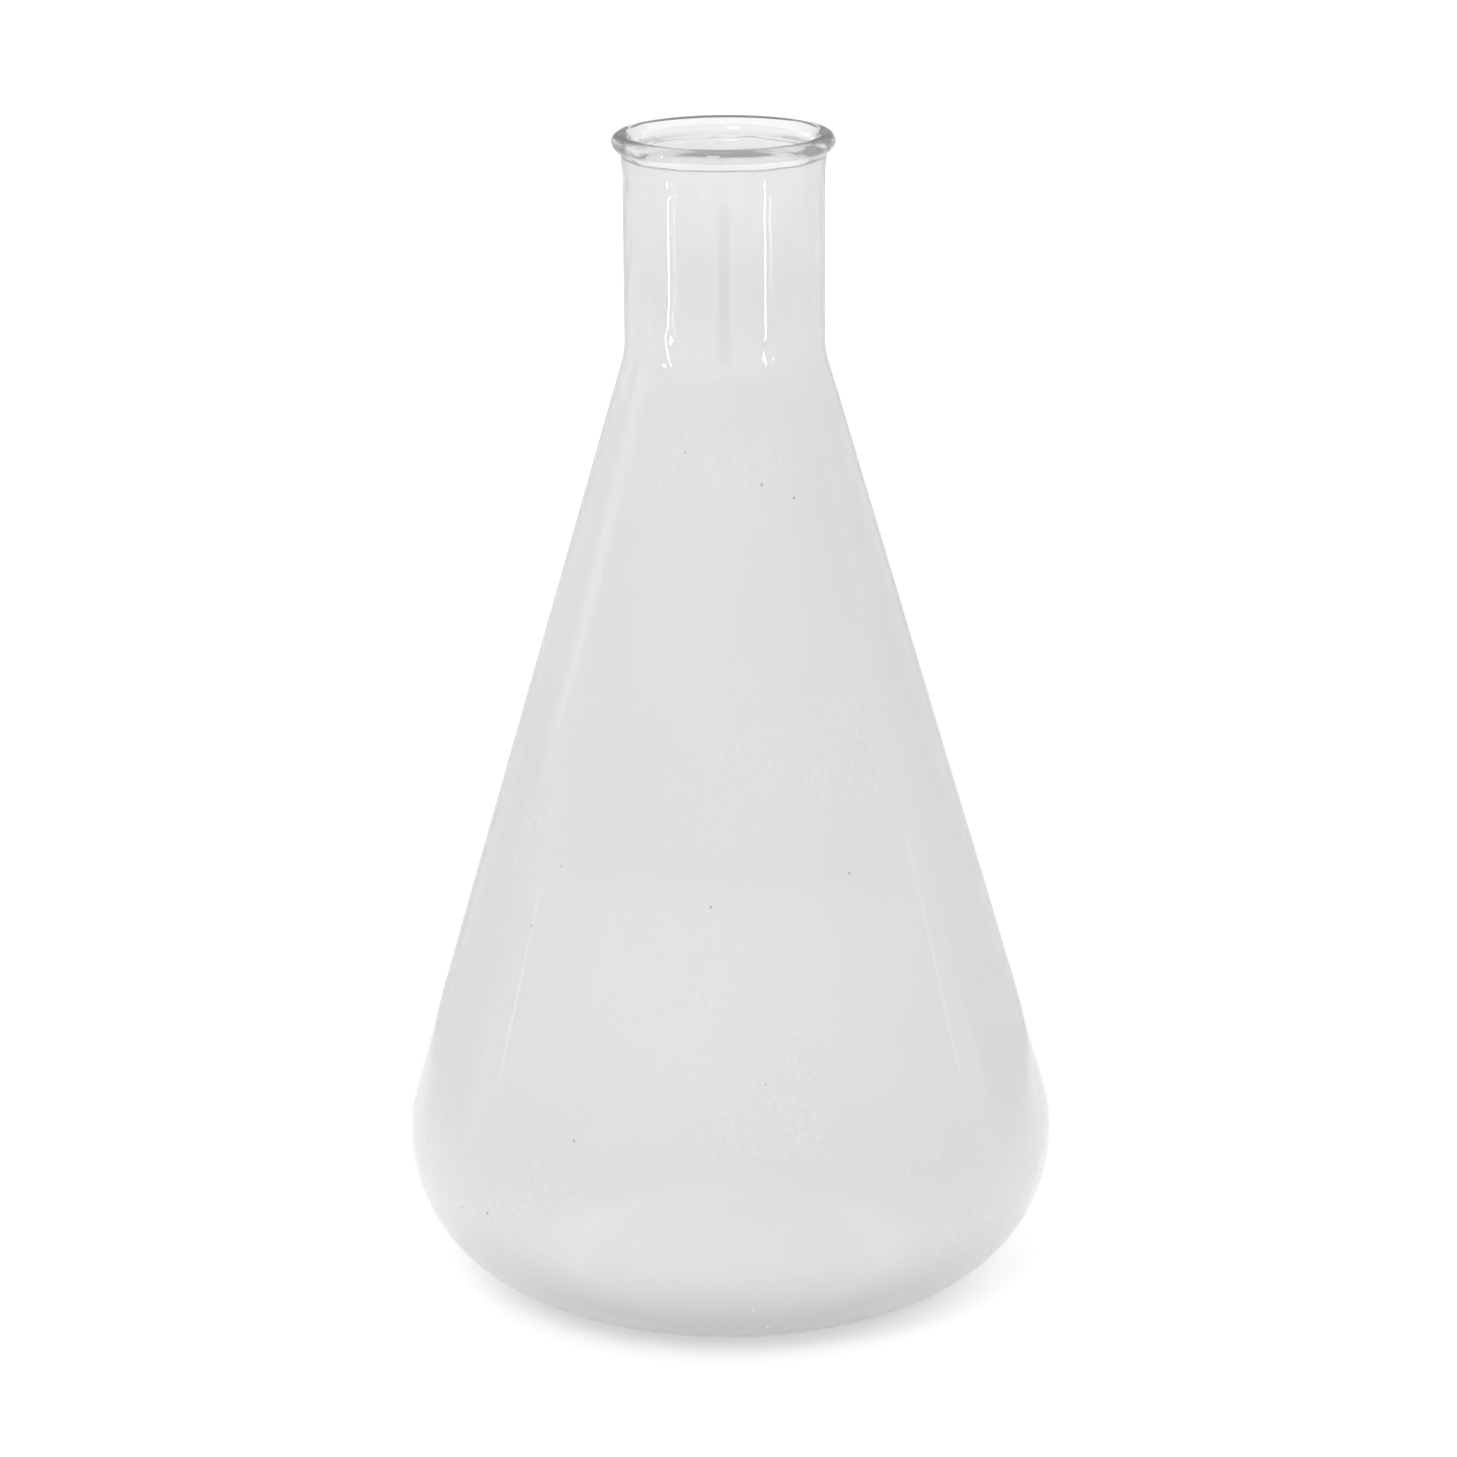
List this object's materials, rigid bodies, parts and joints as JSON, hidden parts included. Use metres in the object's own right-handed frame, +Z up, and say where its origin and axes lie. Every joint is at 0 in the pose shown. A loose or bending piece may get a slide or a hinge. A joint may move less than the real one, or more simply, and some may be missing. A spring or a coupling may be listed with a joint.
{
  "type": "conical laboratory flask",
  "caption": "Tall conical glass flask with a straight neck, a rolled lip, a large rounded heel and a slightly domed base, standing upright and empty.",
  "frame": {"origin": "centre of the base, on the plane the flask stands on", "axes": "+Z up along the flask's axis towards the mouth; the flask is a body of revolution, so X and Y are any two level directions"},
  "size_m": [0.166, 0.166, 0.297],
  "materials": {
    "glass": "clear blown glass, slightly grey and faintly hazed with age, fire-polished lip"
  },
  "bodies": {
    "root": {"base": "glass", "heel": "glass", "conical_body": "glass", "shoulder": "glass", "neck": "glass", "lip": "glass"}
  },
  "joints": []
}
